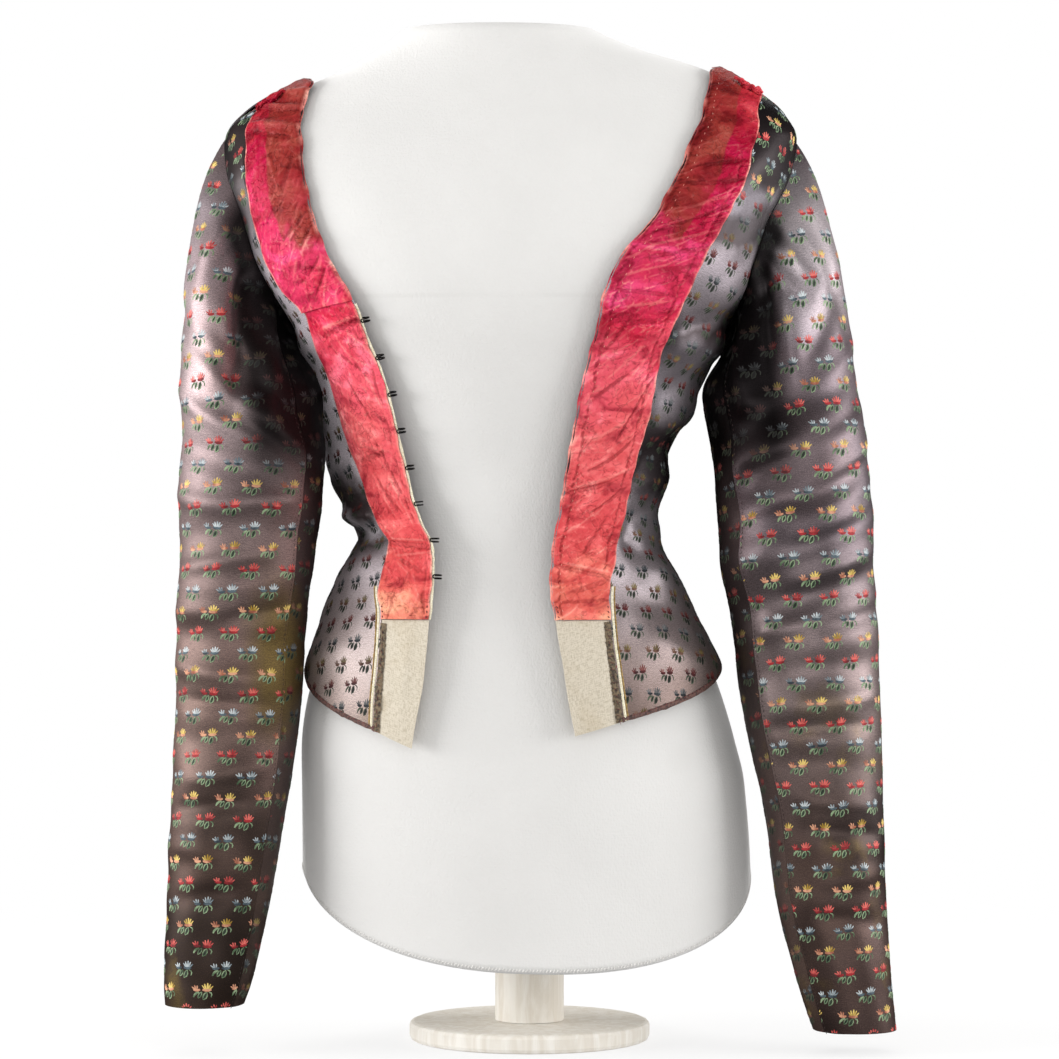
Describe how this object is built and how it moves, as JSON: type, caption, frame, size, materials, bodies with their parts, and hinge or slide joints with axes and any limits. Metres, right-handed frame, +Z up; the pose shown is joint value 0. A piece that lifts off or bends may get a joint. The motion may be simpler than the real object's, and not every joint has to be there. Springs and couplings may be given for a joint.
{
  "type": "caraco jacket on a dress form",
  "caption": "Fitted open-fronted jacket of brocaded satin with silk ribbon facings, linen strips and long sleeves, worn on a limbless padded dress form with a round foot.",
  "frame": {"origin": "centre of the underside of the dress form's foot", "axes": "+Z up, the wearer faces -Y, the wearer's left is at +X"},
  "size_m": [0.5004, 0.2337, 0.705],
  "materials": {
    "brocaded_satin": "lilac grey silk satin with brocaded sprigs",
    "silk_ribbon": "crinkled red silk",
    "linen": "plain woven, natural",
    "form_cover": "matt off-white cover over padding",
    "pale_wood": "pale, matt",
    "black_wire": "black japanned wire"
  },
  "bodies": {
    "root": {"front_right": "brocaded_satin", "front_left": "brocaded_satin", "back_right": "brocaded_satin", "back_left": "brocaded_satin", "sleeve_right_top": "brocaded_satin", "sleeve_right_under": "brocaded_satin", "sleeve_left_top": "brocaded_satin", "sleeve_left_under": "brocaded_satin", "ribbon_right_upper": "silk_ribbon", "ribbon_right_lower": "silk_ribbon", "ribbon_left": "silk_ribbon", "ribbon_end_right": "silk_ribbon", "ribbon_end_left": "silk_ribbon", "linen_right": "linen", "linen_left": "linen", "form_torso": "form_cover", "form_post": "pale_wood", "form_foot": "pale_wood", "hook_1": "black_wire", "hook_2": "black_wire", "hook_3": "black_wire", "hook_4": "black_wire", "hook_5": "black_wire", "hook_6": "black_wire", "hook_7": "black_wire", "hook_8": "black_wire"}
  },
  "joints": []
}
